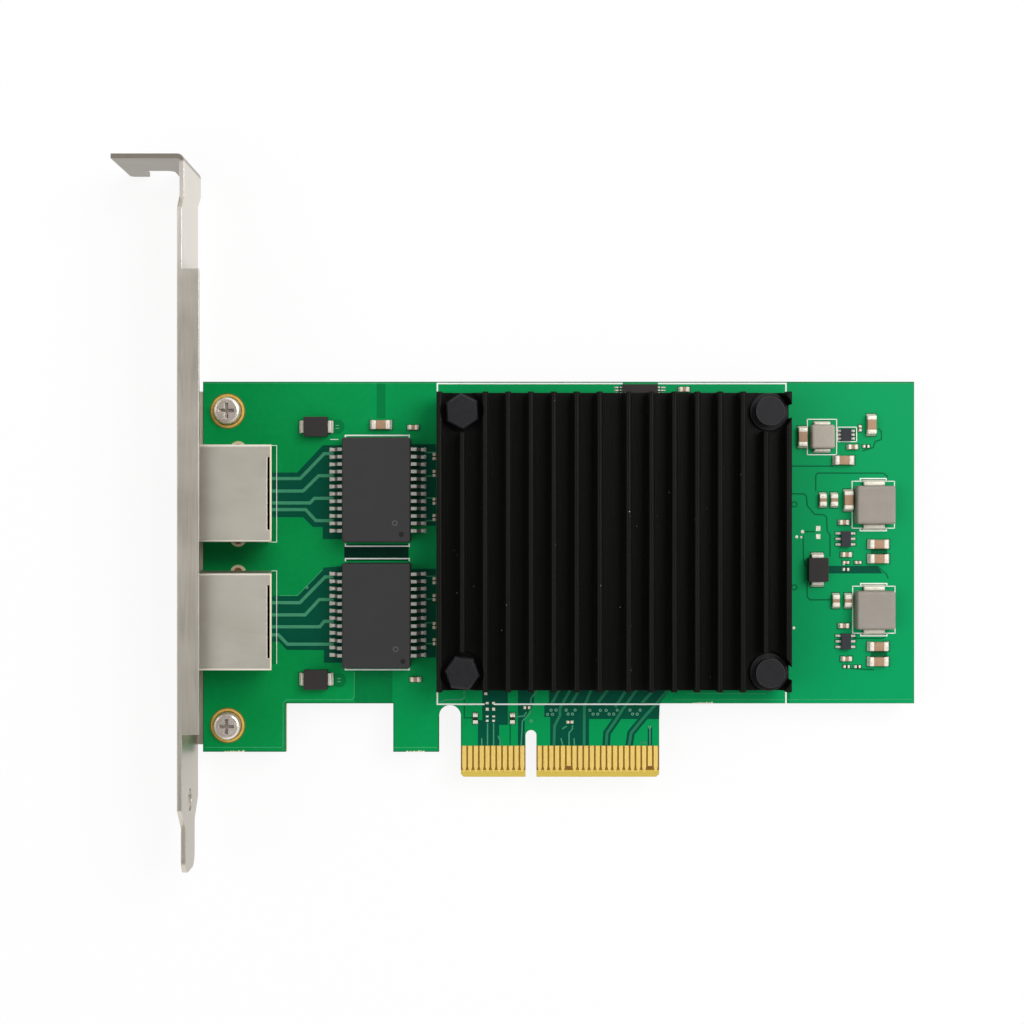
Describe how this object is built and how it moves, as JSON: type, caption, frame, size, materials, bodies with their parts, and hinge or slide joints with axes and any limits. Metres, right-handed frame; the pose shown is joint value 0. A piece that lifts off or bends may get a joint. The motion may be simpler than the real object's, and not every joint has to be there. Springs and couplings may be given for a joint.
{
  "type": "network interface card",
  "caption": "Green network interface card with two network jacks, a black finned heatsink, a full-height steel bracket and a gold edge connector.",
  "frame": {"origin": "on the board's component face, where the centre line of the connector's key notch meets the connector's lower edge", "axes": "+X along the card away from the bracket, +Y from the edge connector to the board's top edge, +Z out of the component side"},
  "size_m": [0.1361, 0.12, 0.0216],
  "materials": {
    "solder_mask": "glossy green solder mask on laminate",
    "gold_plating": "gold-plated contacts, satin",
    "bracket_steel": "satin nickel-plated sheet steel",
    "bright_screw": "bright zinc-plated screw",
    "shield_metal": "satin nickel-plated shield",
    "black_plastic": "matt black moulded plastic",
    "light_lens": "translucent milky light lens",
    "module_plastic": "matt dark grey moulding",
    "tinned_metal": "tin-plated leads and solder",
    "chip_substrate": "green laminate substrate",
    "chip_lid": "satin nickel-plated lid",
    "thermal_compound": "soft grey thermal pad",
    "black_anodised": "satin black anodised aluminium",
    "dark_screw": "satin black-oxide screw",
    "spacer_plastic": "black nylon spacer",
    "zinc_nut": "zinc-plated nut",
    "chip_package": "matt black moulding compound",
    "dark_chip_package": "satin blue-black moulding",
    "inductor_case": "warm grey pressed-powder case",
    "coil_case": "warm pink-grey metal case",
    "diode_plastic": "matt dark grey moulding",
    "ceramic": "tan ceramic",
    "resistor_glaze": "black glazed resistor"
  },
  "bodies": {
    "root": {"circuit_board": "solder_mask", "component_side_contacts": "gold_plating", "solder_side_contacts": "gold_plating", "mounting_bracket": "bracket_steel", "bracket_screws": "bright_screw", "upper_jack_shield": "shield_metal", "lower_jack_shield": "shield_metal", "upper_jack_housing": "black_plastic", "lower_jack_housing": "black_plastic", "upper_jack_contacts": "gold_plating", "lower_jack_contacts": "gold_plating", "link_lights": "light_lens", "upper_magnetics_body": "module_plastic", "lower_magnetics_body": "module_plastic", "upper_magnetics_leads": "tinned_metal", "lower_magnetics_leads": "tinned_metal", "controller_solder_balls": "tinned_metal", "controller_substrate": "chip_substrate", "controller_lid": "chip_lid", "thermal_pad": "thermal_compound", "heatsink": "black_anodised", "heatsink_hex_screws": "dark_screw", "heatsink_round_screws": "dark_screw", "heatsink_spacers": "spacer_plastic", "heatsink_nuts": "zinc_nut", "support_chip_body": "chip_package", "support_chip_leads": "tinned_metal", "converter_chip_bodies": "dark_chip_package", "converter_chip_pins": "tinned_metal", "small_chip_body": "dark_chip_package", "small_chip_pins": "tinned_metal", "upper_power_inductor": "inductor_case", "lower_power_inductor": "inductor_case", "power_inductor_terminals": "tinned_metal", "small_inductor": "coil_case", "small_inductor_terminals": "tinned_metal", "diode_bodies": "diode_plastic", "diode_terminals": "tinned_metal", "large_capacitor_bodies": "ceramic", "large_capacitor_terminals": "tinned_metal", "medium_capacitor_bodies": "ceramic", "medium_capacitor_terminals": "tinned_metal", "small_capacitor_bodies": "ceramic", "small_capacitor_terminals": "tinned_metal", "tiny_capacitor_bodies": "ceramic", "tiny_capacitor_terminals": "tinned_metal", "small_resistor_bodies": "resistor_glaze", "small_resistor_terminals": "tinned_metal", "tiny_resistor_bodies": "resistor_glaze", "tiny_resistor_terminals": "tinned_metal"}
  },
  "joints": []
}
